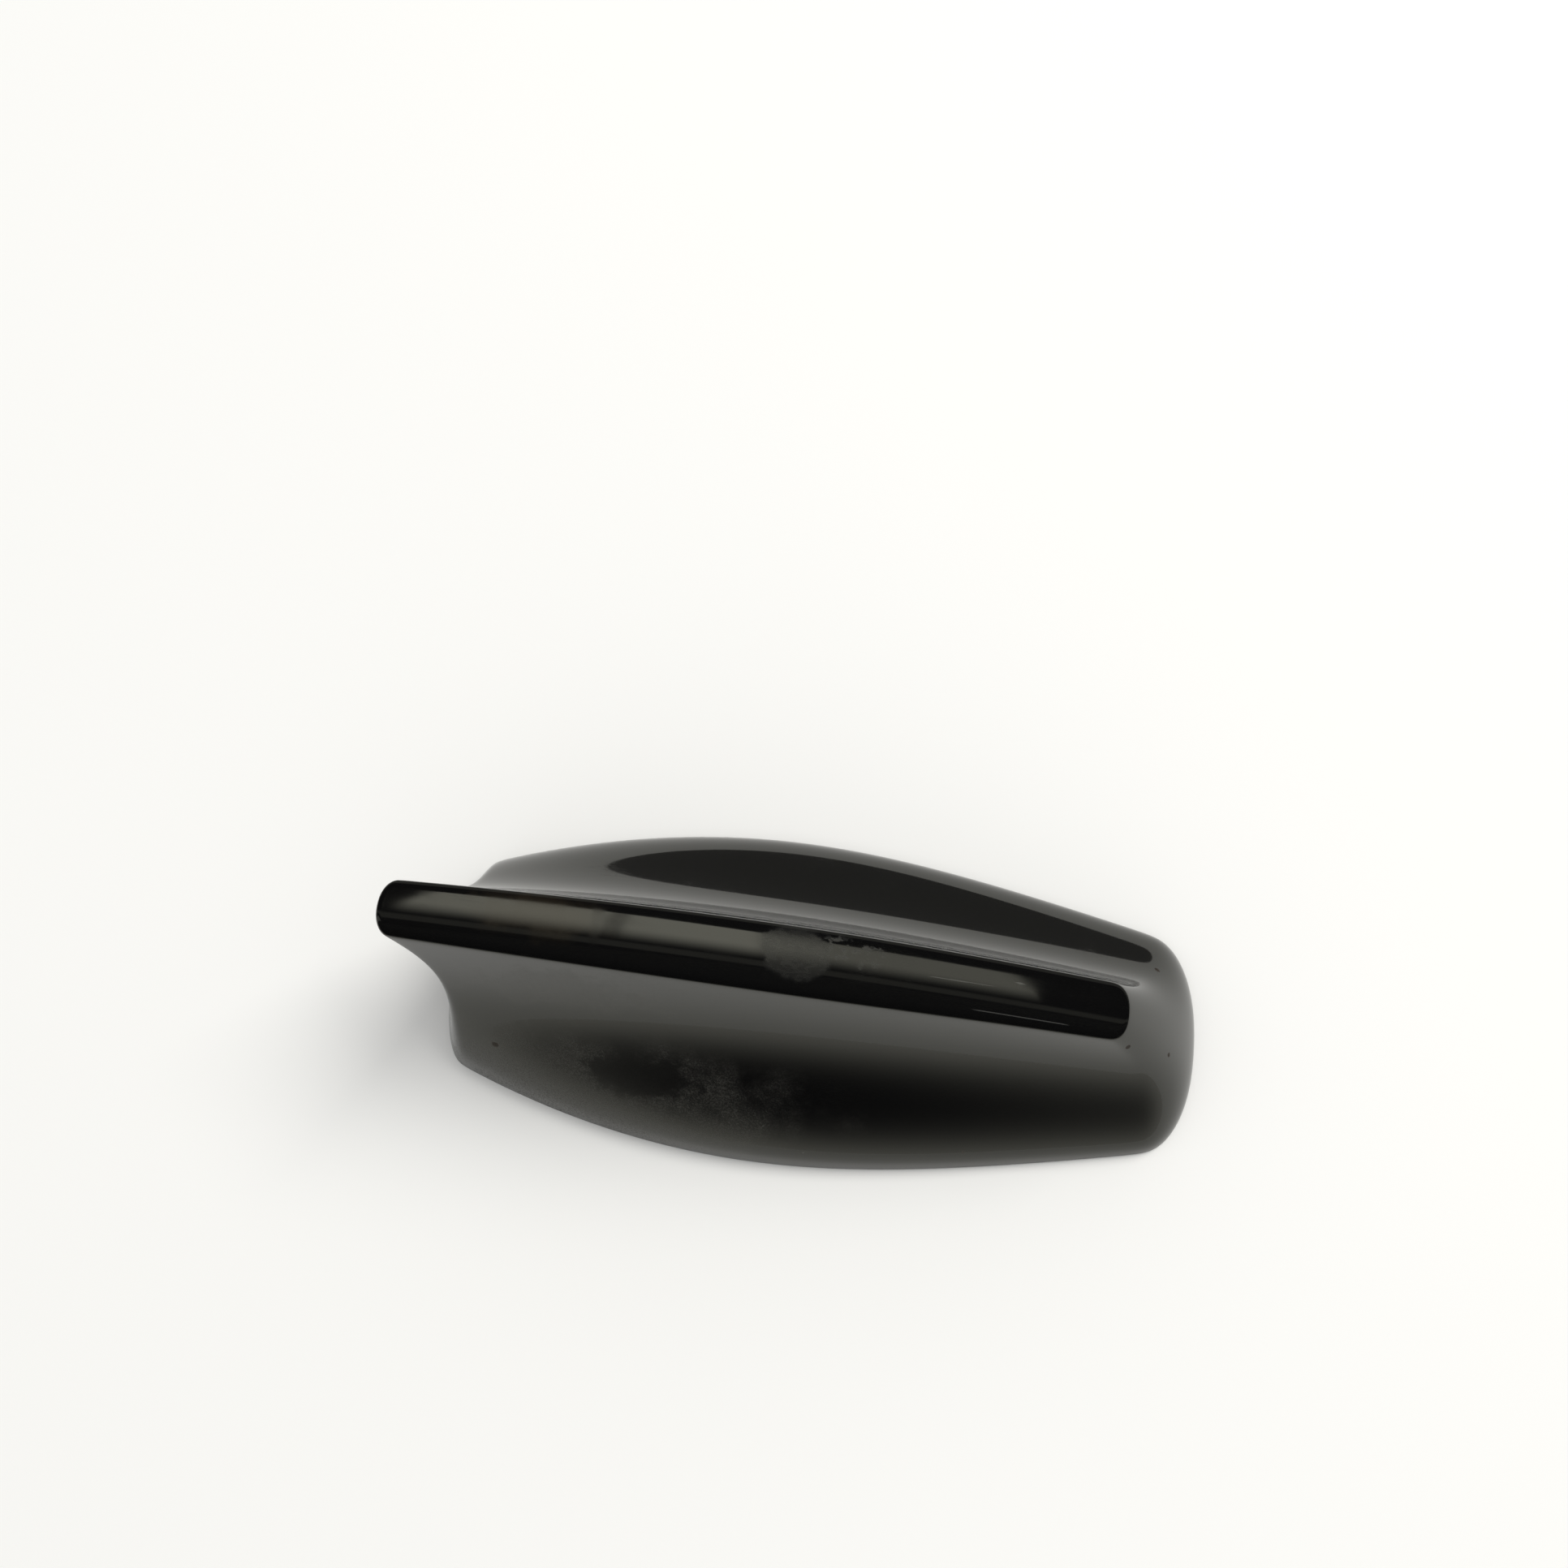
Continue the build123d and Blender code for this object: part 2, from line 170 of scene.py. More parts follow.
bush_rings = []
for step in range(along_bore + 1):
    rise = (insert_high.z - insert_low.z) * step / along_bore
    bush_rings.append([
        insert_mesh.verts.new((
            thread_radius(2 * pi * a / around, rise) * cos(2 * pi * a / around),
            thread_radius(2 * pi * a / around, rise) * sin(2 * pi * a / around),
            insert_low.z + rise))
        for a in range(around)
    ])
for z in (insert_high.z, insert_low.z):
    bush_rings.append([
        insert_mesh.verts.new((
            insert_radius * cos(2 * pi * a / around), insert_radius * sin(2 * pi * a / around), z))
        for a in range(around)
    ])
for here, there in zip(bush_rings, bush_rings[1:] + bush_rings[:1]):
    for a in range(around):
        b = (a + 1) % around
        insert_mesh.faces.new((here[a], here[b], there[b], there[a]))
bmesh.ops.recalc_face_normals(insert_mesh, faces=insert_mesh.faces)


def new_piece(name, mesh, finish):
    """A bmesh made into an object of the scene, with its finish."""
    data = bpy.data.meshes.new(name)
    mesh.to_mesh(data)
    mesh.free()
    data.materials.append(finish)
    piece = bpy.data.objects.new(name, data)
    bpy.context.scene.collection.objects.link(piece)
    return piece


tapped_insert = new_piece("tapped_insert", insert_mesh, plated_steel)
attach(tapped_insert, "root")
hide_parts("thread_insert")


# Vent membrane: a disc of porous white film that lets the fin breathe.
# It is stuck over the small hole in the plate.
vent_film, tree, shader, place = new_finish("porous_film", 0.8, 0.0)
pores = grain(tree, place, 5000.0, 2.0)
tree.links.new(tints(tree, pores, (0.7, 0.7, 0.68), (0.85, 0.85, 0.84)), shader.inputs["Base Color"])
relief(tree, shader, pores, 0.4, 0.00003)
dress("vent_membrane", vent_film)


# Main board and fin board: glass-fibre circuit boards under green lacquer.
# Copper tracks show as paler lines; the fin board stands in slots of the main board.
laminate, tree, shader, place = new_finish("lacquered_laminate", 0.35, 0.0)
tracks = tree.nodes.new("ShaderNodeTexBrick")
tracks.inputs["Scale"].default_value = 130.0
tracks.inputs["Mortar Size"].default_value = 0.05
tracks.inputs["Color1"].default_value = (0.012, 0.10, 0.045, 1)
tracks.inputs["Color2"].default_value = (0.010, 0.085, 0.04, 1)
tracks.inputs["Mortar"].default_value = (0.05, 0.22, 0.10, 1)
tree.links.new(stretched(tree, place, turn=(0.3, 0.2, 0.4)), tracks.inputs["Vector"])
weave = grain(tree, place, 1600.0, 2.0)
fibres = ramp(tree, weave, 0.4, 0.9, 0.0, 0.3)
lacquer = tints(tree, fibres, tracks.outputs["Color"], (0.03, 0.16, 0.07))
tree.links.new(lacquer, shader.inputs["Base Color"])
tree.links.new(ramp(tree, weave, 0.3, 0.7, 0.28, 0.42), shader.inputs["Roughness"])
relief(tree, shader, tracks.outputs["Fac"], 0.2, 0.00003)
dress("main_board", laminate)
dress("fin_board", laminate)


# Screws: steel, zinc plated, with cross slots in their heads.
# Six flat heads under the plate hold the cover, four pan heads hold the main board.
def screw_tree(name):
    """Screws on the points of a mesh: a head with a cross slot, and a shank."""
    group = bpy.data.node_groups.new(name, "GeometryNodeTree")
    face = group.interface
    face.new_socket("Geometry", in_out="INPUT", socket_type="NodeSocketGeometry")
    for label in (
        "Head Radius", "Head Height", "Head Middle", "Shank Radius", "Shank Length", "Shank Middle",
        "Slot Middle",
    ):
        face.new_socket(label, in_out="INPUT", socket_type="NodeSocketFloat")
    face.new_socket("Finish", in_out="INPUT", socket_type="NodeSocketMaterial")
    face.new_socket("Geometry", in_out="OUTPUT", socket_type="NodeSocketGeometry")
    new, link = group.nodes.new, group.links.new
    given, made = new("NodeGroupInput"), new("NodeGroupOutput")

    def raised(geometry, height):
        move = new("GeometryNodeTransform")
        spot = new("ShaderNodeCombineXYZ")
        link(given.outputs[height], spot.inputs["Z"])
        link(geometry, move.inputs["Geometry"])
        link(spot.outputs["Vector"], move.inputs["Translation"])
        return move.outputs["Geometry"]

    def turned(radius, height, middle):
        body = new("GeometryNodeMeshCylinder")
        body.inputs["Vertices"].default_value = 32
        link(given.outputs[radius], body.inputs["Radius"])
        link(given.outputs[height], body.inputs["Depth"])
        return raised(body.outputs["Mesh"], middle)

    slots = new("GeometryNodeJoinGeometry")
    for long, wide in ((1.1, 0.26), (0.26, 1.1)):
        bar = new("GeometryNodeMeshCube")
        size = new("ShaderNodeCombineXYZ")
        for axis, share in (("X", long), ("Y", wide), ("Z", 0.5)):
            part = new("ShaderNodeMath")
            part.operation = "MULTIPLY"
            part.inputs[1].default_value = share
            link(given.outputs["Head Radius"], part.inputs[0])
            link(part.outputs["Value"], size.inputs[axis])
        link(size.outputs["Vector"], bar.inputs["Size"])
        link(raised(bar.outputs["Mesh"], "Slot Middle"), slots.inputs["Geometry"])
    cut = new("GeometryNodeMeshBoolean")
    cut.operation = "DIFFERENCE"
    link(turned("Head Radius", "Head Height", "Head Middle"), cut.inputs["Mesh 1"])
    link(slots.outputs["Geometry"], cut.inputs["Mesh 2"])
    whole = new("GeometryNodeJoinGeometry")
    link(cut.outputs["Mesh"], whole.inputs["Geometry"])
    link(turned("Shank Radius", "Shank Length", "Shank Middle"), whole.inputs["Geometry"])
    spread = new("GeometryNodeInstanceOnPoints")
    link(given.outputs["Geometry"], spread.inputs["Points"])
    link(whole.outputs["Geometry"], spread.inputs["Instance"])
    real = new("GeometryNodeRealizeInstances")
    link(spread.outputs["Instances"], real.inputs["Geometry"])
    coat = new("GeometryNodeSetMaterial")
    link(real.outputs["Geometry"], coat.inputs["Geometry"])
    link(given.outputs["Finish"], coat.inputs["Material"])
    link(coat.outputs["Geometry"], made.inputs["Geometry"])
    return group


def set_inputs(modifier, group, values):
    """Give a node modifier its named sizes."""
    for item in group.interface.items_tree:
        if item.in_out == "INPUT" and item.name in values:
            modifier[item.identifier] = values[item.name]


def made_plain(piece, name, finish):
    """The evaluated piece as a plain mesh, in place of the piece it came from."""
    view = bpy.context.evaluated_depsgraph_get()
    data = bpy.data.meshes.new_from_object(piece.evaluated_get(view))
    data.name = name
    data.materials.clear()
    data.materials.append(finish)
    bpy.data.objects.remove(piece)
    plain = bpy.data.objects.new(name, data)
    bpy.context.scene.collection.objects.link(plain)
    return plain


screws = screw_tree("cross_slot_screws")
cover_screw_places = [
    (x, side * y) for x, y in ((0.058, 0.0135), (-0.005, 0.0245), (-0.06, 0.0125)) for side in (1, -1)
]
for name, node, places, sizes in (
    ("cover_screw_set", "cover_screws", cover_screw_places,
     {"Head Radius": 0.0024, "Head Height": 0.0012, "Head Middle": 0.0022, "Shank Radius": 0.0012,
      "Shank Length": 0.00665, "Shank Middle": 0.006125, "Slot Middle": 0.0017}),
    ("board_screw_set", "board_screws",
     [(x, side * 0.012) for x in (0.045, -0.045) for side in (1, -1)],
     {"Head Radius": 0.0021, "Head Height": 0.0013, "Head Middle": 0.01025, "Shank Radius": 0.0009,
      "Shank Length": 0.00645, "Shank Middle": 0.006375, "Slot Middle": 0.0109}),
):
    points = bmesh.new()
    for x, y in places:
        points.verts.new((x, y, 0))
    seed = new_piece(name + "_points", points, plated_steel)
    modifier = seed.modifiers.new("screws", "NODES")
    modifier.node_group = screws
    set_inputs(modifier, screws, {**sizes, "Finish": plated_steel})
    screw_set = made_plain(seed, name, plated_steel)
    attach(screw_set, "root")
    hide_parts(node)


# Tin parts: the shield over the amplifier, the phone aerial's blade and the saddle
# along the fin board. All are cut and folded from tin-plated sheet and soldered down.
tin_sheet, tree, shader, place = new_finish("tin_plated_sheet", 0.32, 1.0)
rolling = grain(tree, stretched(tree, place, scale=(1, 24, 24)), 160.0, 3.0)
tin = tints(tree, ramp(tree, rolling, 0.3, 0.7), (0.52, 0.52, 0.5), (0.7, 0.7, 0.68))
tree.links.new(tin, shader.inputs["Base Color"])
tree.links.new(ramp(tree, rolling, 0.3, 0.7, 0.24, 0.42), shader.inputs["Roughness"])
relief(tree, shader, rolling, 0.1, 0.00003)
for node in ("shield_can", "phone_blade", "top_sheet"):
    dress(node, tin_sheet)


# Satellite patch: a fired ceramic tile with a silvered square on its top.
# It lies on a foam tape, and a gold-flashed pin feeds it through the board.
tile, tree, shader, place = new_finish("fired_tile", 0.45, 0.0)
axes = tree.nodes.new("ShaderNodeSeparateXYZ")
tree.links.new(stretched(tree, place, middle=(0.029, 0, 0)), axes.inputs["Vector"])
reach_along = sums(tree, "ABSOLUTE", axes.outputs["X"], 0)
reach_across = sums(tree, "ABSOLUTE", axes.outputs["Y"], 0)
reach = sums(tree, "MAXIMUM", reach_along, reach_across)
tile_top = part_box("patch_tile")[1].z
on_top = ramp(tree, axes.outputs["Z"], tile_top - 0.0002, tile_top - 0.0001)
silver = sums(tree, "MULTIPLY", ramp(tree, reach, 0.0101, 0.0102, 1, 0), on_top)
specks = grain(tree, place, 1800.0, 3.0)
clay = tints(tree, specks, (0.62, 0.55, 0.42), (0.8, 0.74, 0.62))
tree.links.new(tints(tree, silver, clay, (0.75, 0.74, 0.7)), shader.inputs["Base Color"])
tree.links.new(silver, shader.inputs["Metallic"])
relief(tree, shader, specks, 0.2, 0.00004)
dress("patch_tile", tile)
foam, tree, shader, place = new_finish("foam_tape", 0.9, 0.0)
cells = grain(tree, place, 3000.0, 3.0)
tree.links.new(tints(tree, cells, (0.05, 0.05, 0.05), (0.14, 0.14, 0.13)), shader.inputs["Base Color"])
relief(tree, shader, cells, 0.6, 0.0001)
dress("patch_tape", foam)
gold_brass, tree, shader, place = new_finish("gold_flashed_brass", 0.25, 1.0)
rub = grain(tree, place, 900.0, 4.0)
tree.links.new(tints(tree, rub, (0.66, 0.48, 0.2), (0.82, 0.64, 0.3)), shader.inputs["Base Color"])
tree.links.new(ramp(tree, rub, 0.3, 0.7, 0.18, 0.34), shader.inputs["Roughness"])
for node in ("feed_pin", "socket_sleeves", "socket_contacts"):
    dress(node, gold_brass)


# Loading coil: enamelled copper wire wound between the flanges of a moulded former.
# It stands on the main board beside the hub.
moulded_black, tree, shader, place = new_finish("moulded_black", 0.5, 0.0)
mottle = grain(tree, place, 1500.0, 3.0)
tree.links.new(tints(tree, mottle, (0.015, 0.015, 0.015), (0.04, 0.04, 0.04)), shader.inputs["Base Color"])
relief(tree, shader, mottle, 0.2, 0.00004)
dress("coil_former", moulded_black)
enamelled_wire, tree, shader, place = new_finish("enamelled_copper", 0.28, 1.0)
drawn = grain(tree, place, 1200.0, 3.0)
tree.links.new(tints(tree, drawn, (0.5, 0.18, 0.07), (0.72, 0.32, 0.14)), shader.inputs["Base Color"])
winding_low, winding_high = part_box("coil_winding")
coil = bpy.data.node_groups.new("wound_coil", "GeometryNodeTree")
coil.interface.new_socket("Geometry", in_out="INPUT", socket_type="NodeSocketGeometry")
for label in ("Turns", "Coil Radius", "Coil Height", "Wire Radius", "Centre X", "Centre Y", "Floor"):
    coil.interface.new_socket(label, in_out="INPUT", socket_type="NodeSocketFloat")
coil.interface.new_socket("Finish", in_out="INPUT", socket_type="NodeSocketMaterial")
coil.interface.new_socket("Geometry", in_out="OUTPUT", socket_type="NodeSocketGeometry")
given, made = coil.nodes.new("NodeGroupInput"), coil.nodes.new("NodeGroupOutput")
spiral = coil.nodes.new("GeometryNodeCurveSpiral")
spiral.inputs["Resolution"].default_value = 32
coil.links.new(given.outputs["Turns"], spiral.inputs["Rotations"])
coil.links.new(given.outputs["Coil Radius"], spiral.inputs["Start Radius"])
coil.links.new(given.outputs["Coil Radius"], spiral.inputs["End Radius"])
coil.links.new(given.outputs["Coil Height"], spiral.inputs["Height"])
wire = coil.nodes.new("GeometryNodeCurvePrimitiveCircle")
wire.inputs["Resolution"].default_value = 10
coil.links.new(given.outputs["Wire Radius"], wire.inputs["Radius"])
tube = coil.nodes.new("GeometryNodeCurveToMesh")
tube.inputs["Fill Caps"].default_value = True
coil.links.new(spiral.outputs["Curve"], tube.inputs["Curve"])
coil.links.new(wire.outputs["Curve"], tube.inputs["Profile Curve"])
spot = coil.nodes.new("ShaderNodeCombineXYZ")
for label, axis in (("Centre X", "X"), ("Centre Y", "Y"), ("Floor", "Z")):
    coil.links.new(given.outputs[label], spot.inputs[axis])
move = coil.nodes.new("GeometryNodeTransform")
coil.links.new(tube.outputs["Mesh"], move.inputs["Geometry"])
coil.links.new(spot.outputs["Vector"], move.inputs["Translation"])
real = coil.nodes.new("GeometryNodeRealizeInstances")
coil.links.new(move.outputs["Geometry"], real.inputs["Geometry"])
coat = coil.nodes.new("GeometryNodeSetMaterial")
coil.links.new(real.outputs["Geometry"], coat.inputs["Geometry"])
coil.links.new(given.outputs["Finish"], coat.inputs["Material"])
coil.links.new(coat.outputs["Geometry"], made.inputs["Geometry"])
wire_radius = 0.0004
coil_seed = new_piece("coil_seed", bmesh.new(), enamelled_wire)
modifier = coil_seed.modifiers.new("coil", "NODES")
modifier.node_group = coil
set_inputs(modifier, coil, {
    "Turns": (winding_high.z - winding_low.z) / (2.1 * wire_radius),
    "Coil Radius": (winding_high.x - winding_low.x) / 2 - wire_radius,
    "Coil Height": winding_high.z - winding_low.z - 2 * wire_radius,
    "Wire Radius": wire_radius,
    "Centre X": (winding_low.x + winding_high.x) / 2,
    "Centre Y": (winding_low.y + winding_high.y) / 2,
    "Floor": winding_low.z + wire_radius,
    "Finish": enamelled_wire,
})
wound_coil = made_plain(coil_seed, "wound_coil", enamelled_wire)
wound_coil.data.shade_smooth()
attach(wound_coil, "root")
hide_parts("coil_winding")


# Aerial sockets: moulded housings clipped under the board, open downwards.
# The plugs of the car's leads push in through the plate's window.
socket_plastic, tree, shader, place = new_finish("moulded_socket", 0.45, 0.0)
flow = grain(tree, place, 700.0, 4.0)
tree.links.new(tints(tree, flow, (0.5, 0.47, 0.4), (0.64, 0.61, 0.54)), shader.inputs["Base Color"])
relief(tree, shader, flow, 0.15, 0.00004)
dress("socket_housings", socket_plastic)


# Fin cover: one plastic shell, moulded, primed and painted gloss black.
# Its rim sits on the seal all round, and it shows years of dust, smears and fine scratches.
nose_x, tip_x, tail_x, widest_x = 81.5, -82.8, -76.5, -6.5
rim_half, rim_nose_half, rim_tail_half = 34.5, 21.0, 20.0
spine_half, spine_nose_half, spine_tail_half = 6.3, 5.4, 5.3
fin_height, spine_front_x, spine_front_height, spine_curve = 47.0, 61.5, 30.5, 2.4
crown_radius, spine_edge_radius, nose_curve, tail_undercut = 24.0, 2.0, 1.3, 5.0
rim_nose_corner, spine_nose_corner, rim_tail_corner, spine_tail_corner = 10.5, 4.0, 6.0, 3.0
corner_power, flare_middle, flare_power, flare_lean, side_bow, rim_lift = 2.3, 0.4, 3.2, 0.25, 2.0, 0.5
cover_wall = 2.0


def spine_height(x):
    """Height of the spine's middle line."""
    share = min((spine_front_x - x) / (spine_front_x - tip_x), 1.0)
    return spine_front_height + (fin_height - spine_front_height) * (1 - (1 - share) ** spine_curve)


def crown_height(x, y):
    """Height of the crowned spine off its middle line."""
    return spine_height(x) - crown_radius + sqrt(crown_radius ** 2 - y ** 2)


def plane_height(x, level):
    """Height of the tilted plane of one outline."""
    slope = (spine_front_height - fin_height) / (spine_front_x - tip_x)
    return rim_lift + level * (fin_height + (x - tip_x) * slope - rim_lift)


def flare(share):
    """Part of the rim's extra width that is left at a share of the height."""
    bend = 1 / (1 + (share / flare_middle) ** flare_power)
    end = 1 / (1 + (1 / flare_middle) ** flare_power)
    return (1 - flare_lean) * (bend - end) / (1 - end) + flare_lean * (1 - share)


def along(where, nose, widest, tail):
    """Half width from the tail over the widest place to the nose."""
    if where < 0:
        return widest - (widest - tail) * where ** 2
    bow = (sqrt(1 + (side_bow * where) ** 2) - 1) / (sqrt(1 + side_bow ** 2) - 1)
    return widest - (widest - nose) * bow


corner_steps, side_steps = 8, 14
half_steps = 2 * corner_steps + 2 * side_steps


def fin_point(step, level):
    """A point on the right flank, from the nose's middle to the tail's middle, at one level."""
    nose = nose_x - (nose_x - spine_front_x) * level ** nose_curve
    rise = min(level, 1.0)
    tail = tail_x + (tip_x - tail_x) * rise + 4 * tail_undercut * rise * (1 - rise)
    rest = max(flare(plane_height(widest_x, level) / spine_height(widest_x)), 0.0)
    nose_corner = spine_nose_corner + (rim_nose_corner - spine_nose_corner) * rest
    tail_corner = spine_tail_corner + (rim_tail_corner - spine_tail_corner) * rest
    from_end = min(step, half_steps - step)
    turn = radians(90 * min(from_end / corner_steps, 1))
    far = 1 - abs(cos(turn)) ** (2 / corner_power)
    part = abs(sin(turn)) ** (2 / corner_power)
    side_front, side_back = nose - nose_corner, tail + tail_corner
    if step <= corner_steps:
        x = nose - nose_corner * far
    elif step >= half_steps - corner_steps:
        x = tail + tail_corner * far
    elif step <= corner_steps + side_steps:
        x = side_front + (widest_x - side_front) * (step - corner_steps) / side_steps
    else:
        x = widest_x + (side_back - widest_x) * (step - corner_steps - side_steps) / side_steps
    where = (x - widest_x) / (nose - widest_x if x > widest_x else widest_x - tail)
    rim = along(where, rim_nose_half, rim_half, rim_tail_half)
    spine = along(where, spine_nose_half, spine_half, spine_tail_half)
    half = spine + (rim - spine) * flare(plane_height(x, level) / spine_height(x))
    return Vector((x, -half * part, plane_height(x, level)))


edge_levels = []
for step in range(half_steps + 1):
    low, high = 0.5, 1.25
    for _ in range(40):
        level = (low + high) / 2
        point = fin_point(step, level)
        if point.z < crown_height(point.x, point.y):
            low = level
        else:
            high = level
    edge_levels.append(low)
edge = [fin_point(step, level) for step, level in enumerate(edge_levels)]

flank_shares = [0, 0.03, 0.07, 0.12, 0.18, 0.25, 0.33, 0.41, 0.5, 0.59, 0.68, 0.77, 0.86, 0.94]
arc_shares = [0.0, 0.25, 0.5, 0.75, 1.0]
right_columns = []
for step in range(half_steps + 1):
    before = edge[step - 1] if step > 0 else Vector((edge[1].x, -edge[1].y, edge[1].z))
    after = edge[step + 1] if step < half_steps else Vector((edge[-2].x, -edge[-2].y, edge[-2].z))
    run = (after - before).to_2d().normalized()
    inward = Vector((run.y, -run.x))
    corner = edge[step]
    climb = corner - fin_point(step, edge_levels[step] - 0.01)
    inside = corner.to_2d() + inward
    over = Vector((*inside, crown_height(*inside))) - corner
    bend = climb.angle(over)
    reach = min(spine_edge_radius * tan(bend / 2), 1.5)
    start_level = edge_levels[step] - 0.01 * reach / climb.length
    start = fin_point(step, start_level)
    end_plan = corner.to_2d() + inward * reach
    end = Vector((*end_plan, crown_height(*end_plan)))
    column = [fin_point(step, start_level * share) for share in flank_shares]
    weight = cos(bend / 2)
    for share in arc_shares:
        parts = ((1 - share) ** 2, 2 * share * (1 - share) * weight, share ** 2)
        column.append((start * parts[0] + corner * parts[1] + end * parts[2]) / sum(parts))
    right_columns.append(column)

cover_cage = bmesh.new()
columns = []
for step in range(2 * half_steps):
    side = 1 if step <= half_steps else -1
    column = right_columns[step if side == 1 else 2 * half_steps - step]
    columns.append([cover_cage.verts.new(Vector((p.x, side * p.y, p.z)) / 1000) for p in column])
for here, there in zip(columns, columns[1:] + columns[:1]):
    for low in range(len(here) - 1):
        cover_cage.faces.new((here[low], there[low], there[low + 1], here[low + 1]))

# The spine's top is a grid between the rounded edges, with its corners on the plan's corners.
turn_step = corner_steps // 2
grid_rows = half_steps - 2 * turn_step
grid_columns = 2 * turn_step
top_loop = [column[-1] for column in columns]


def loop_vertex(index):
    """A vertex of the spine's edge, counted round it from the nose's middle."""
    return top_loop[index % len(top_loop)]


top_grid = []
for row in range(grid_rows + 1):
    line = []
    for column in range(grid_columns + 1):
        if row == 0:
            line.append(loop_vertex(turn_step - column))
        elif row == grid_rows:
            line.append(loop_vertex(half_steps - turn_step + column))
        elif column == 0:
            line.append(loop_vertex(turn_step + row))
        elif column == grid_columns:
            line.append(loop_vertex(-turn_step - row))
        else:
            s, t = column / grid_columns, row / grid_rows
            front = loop_vertex(turn_step - column).co
            back = loop_vertex(half_steps - turn_step + column).co
            right, left = loop_vertex(turn_step + row).co, loop_vertex(-turn_step - row).co
            corners = (
                loop_vertex(turn_step).co * (1 - s) * (1 - t) + loop_vertex(-turn_step).co * s * (1 - t)
                + loop_vertex(half_steps - turn_step).co * (1 - s) * t
                + loop_vertex(half_steps + turn_step).co * s * t
            )
            flat = front * (1 - t) + back * t + right * (1 - s) + left * s - corners
            height = crown_height(flat.x * 1000, flat.y * 1000) / 1000
            line.append(cover_cage.verts.new((flat.x, flat.y, height)))
    top_grid.append(line)
for here, there in zip(top_grid, top_grid[1:]):
    for column in range(grid_columns):
        cover_cage.faces.new((here[column], here[column + 1], there[column + 1], there[column]))
bmesh.ops.recalc_face_normals(cover_cage, faces=cover_cage.faces)
if sum(face.normal.z for face in cover_cage.faces) < 0:
    bmesh.ops.reverse_faces(cover_cage, faces=cover_cage.faces)


# The paint's wear is set by places on the fin: smears on the spine, dust low on the right
# flank, and fine scratches along the spine. A pale band low on the left rim is painted reflection
# of the floor, and a brown tint on the spine's tail is a painted warm tone of the panel's reflection.
def spot_mask(tree, place, middle, size, turn=0.0, soft=0.4, ragged=0.25, scale=400.0):
    """A soft patch with ragged edges round a place on the part; sizes are half lengths."""
    scales = tuple(1 / half for half in size)
    local = stretched(tree, place, middle=middle, turn=(0, 0, turn), scale=scales)
    length = tree.nodes.new("ShaderNodeVectorMath")
    length.operation = "LENGTH"
    tree.links.new(local, length.inputs[0])
    cloud = sums(tree, "SUBTRACT", grain(tree, place, scale, 5.0, 0.65), 0.5)
    worn = sums(tree, "MULTIPLY", cloud, 4 * ragged)
    return ramp(tree, sums(tree, "ADD", length.outputs["Value"], worn), 1.0 - soft, 1.0 + soft, 1, 0)


def most(tree, *amounts):
    """The strongest of several amounts, each with its weight."""
    result = 0.0
    for amount, weight in amounts:
        result = sums(tree, "MAXIMUM", result, sums(tree, "MULTIPLY", amount, weight))
    return result


gloss_black, tree, shader, place = new_finish("gloss_black_paint", 0.06, 0.0)
shader.inputs["IOR"].default_value = 1.5
shader.inputs["Specular Tint"].default_value = (1.0, 1.0, 0.88, 1)
axes = tree.nodes.new("ShaderNodeSeparateXYZ")
tree.links.new(place, axes.inputs["Vector"])

smear = spot_mask(
    tree, place, (-0.0035, 0.0012, 0.0425), (0.0065, 0.0052, 0.006), soft=0.12, ragged=0.2, scale=180.0)
wiping = stretched(tree, place, turn=(0, 0, 0.5), scale=(1, 2.5, 1))
smear_streaks = ramp(tree, grain(tree, wiping, 330.0, 3.0, 0.5, 1.5), 0.38, 0.62)
smear = sums(tree, "MULTIPLY", smear, ramp(tree, smear_streaks, 0, 1, 0.7, 1.0))
scuffs = spot_mask(
    tree, place, (0.0060, 0.0030, 0.0415), (0.0060, 0.0026, 0.004),
    turn=0.3, soft=0.3, ragged=0.6, scale=300.0)
scuff_lines = grain(tree, stretched(tree, place, scale=(1, 1.6, 1)), 420.0, 2.0)
scuffs = sums(tree, "MULTIPLY", scuffs, ramp(tree, scuff_lines, 0.48, 0.6))
# A brown tint on the spine's top towards the tail, with a little more roughness: painted warm tone of the
# panel's reflection there.
painted_warm_reflection = spot_mask(
    tree, place, (-0.053, 0.002, 0.0465), (0.012, 0.0035, 0.006),
    turn=0.03, soft=0.7, ragged=0.6, scale=160.0)
crossing = spot_mask(
    tree, place, (-0.0411, 0.002, 0.046), (0.0013, 0.0045, 0.004),
    turn=-0.35, soft=0.7, ragged=0.3, scale=300.0)
handling = ramp(tree, grain(tree, stretched(tree, place, scale=(1, 2.5, 1)), 90.0, 5.0), 0.45, 0.75)
spine_haze = sums(tree, "MULTIPLY", ramp(tree, axes.outputs["Z"], 0.028, 0.034), handling)
flank_smudge = spot_mask(
    tree, place, (-0.032, -0.022, 0.0165), (0.010, 0.005, 0.005),
    turn=-0.35, soft=0.5, ragged=0.6, scale=220.0)
dust_zone = spot_mask(
    tree, place, (-0.042, -0.025, 0.009), (0.034, 0.012, 0.012),
    turn=-0.35, soft=0.6, ragged=0.5, scale=120.0)
dust_fine = ramp(tree, grain(tree, place, 2600.0, 4.0, 0.7), 0.35, 0.75)
dust = sums(tree, "MULTIPLY", dust_zone, ramp(tree, dust_fine, 0, 1, 0.35, 1.0))
dust = sums(tree, "MULTIPLY", dust, ramp(tree, flank_smudge, 0, 1, 1.0, 0.15))
